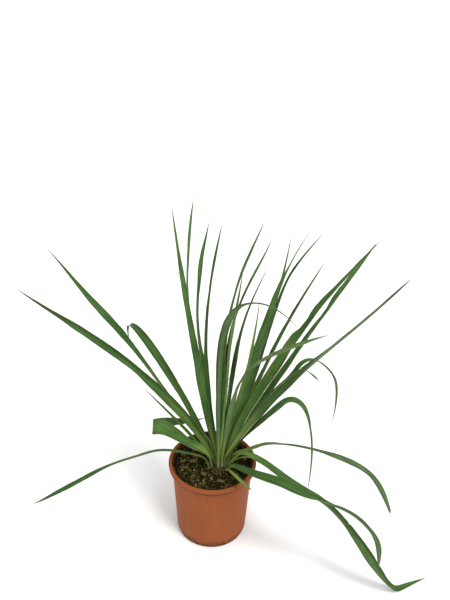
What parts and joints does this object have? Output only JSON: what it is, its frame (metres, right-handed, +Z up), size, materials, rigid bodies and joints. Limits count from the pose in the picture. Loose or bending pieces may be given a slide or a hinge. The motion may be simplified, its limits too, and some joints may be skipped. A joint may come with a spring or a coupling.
{
  "type": "potted yucca",
  "caption": "Young stemless yucca with long arching strap leaves, growing from a short crown in a soil-filled round nursery pot with a rolled rim.",
  "frame": {"origin": "centre of the pot's base, on the surface it stands on", "axes": "+Z up along the pot's axis, +X to the right and +Y to the back as the plant is seen from its front; the longest leaf trails to +X at the front right"},
  "size_m": [0.7723, 0.4835, 0.6269],
  "materials": {
    "terracotta_plastic": "matt terracotta-coloured moulded plastic, scuffed and slightly dusty",
    "potting_soil": null,
    "crown_bark": "fibrous tan and brown leaf bases on a woody crown",
    "bark": "rough dry bark and wood chips",
    "leaf_green": null,
    "leaf_bright": null,
    "leaf_grey": null,
    "seedling_green": "fresh green sprout"
  },
  "bodies": {
    "root": {"bark_chip_01": "bark", "bark_chip_02": "bark", "bark_chip_03": "bark", "bark_chip_04": "bark", "bark_chip_05": "bark", "bark_chip_06": "bark", "bark_chip_07": "bark", "bark_chip_08": "bark", "bark_chip_09": "bark", "bark_chip_10": "bark", "bark_chip_11": "bark", "bark_chip_12": "bark", "leaf_back_1": "leaf_green", "leaf_back_2": "leaf_green", "leaf_back_3": "leaf_green", "leaf_back_4": "leaf_green", "leaf_back_broad": "leaf_green", "leaf_floor": "leaf_green", "leaf_front_broad": "leaf_grey", "leaf_front_hanging": "leaf_green", "leaf_front_twisted": "leaf_grey", "leaf_inner_1": "leaf_green", "leaf_inner_2": "leaf_bright", "leaf_inner_bright": "leaf_bright", "leaf_left_bent": "leaf_green", "leaf_left_creased": "leaf_green", "leaf_left_long": "leaf_green", "leaf_left_low": "leaf_green", "leaf_left_slender": "leaf_bright", "leaf_left_upper": "leaf_green", "leaf_right_1": "leaf_green", "leaf_right_2": "leaf_green", "leaf_right_arched": "leaf_green", "leaf_right_broad": "leaf_green", "leaf_right_drooping": "leaf_green", "leaf_right_long": "leaf_grey", "leaf_right_low": "leaf_bright", "leaf_upright_1": "leaf_green", "leaf_upright_2": "leaf_green", "leaf_upright_3": "leaf_green", "leaf_upright_4": "leaf_green", "leaf_young_front": "leaf_bright", "leaf_young_left": "leaf_bright", "leaf_young_right": "leaf_bright", "pot": "terracotta_plastic", "rootstock": "crown_bark", "seedling": "seedling_green", "soil": "potting_soil"}
  },
  "joints": []
}
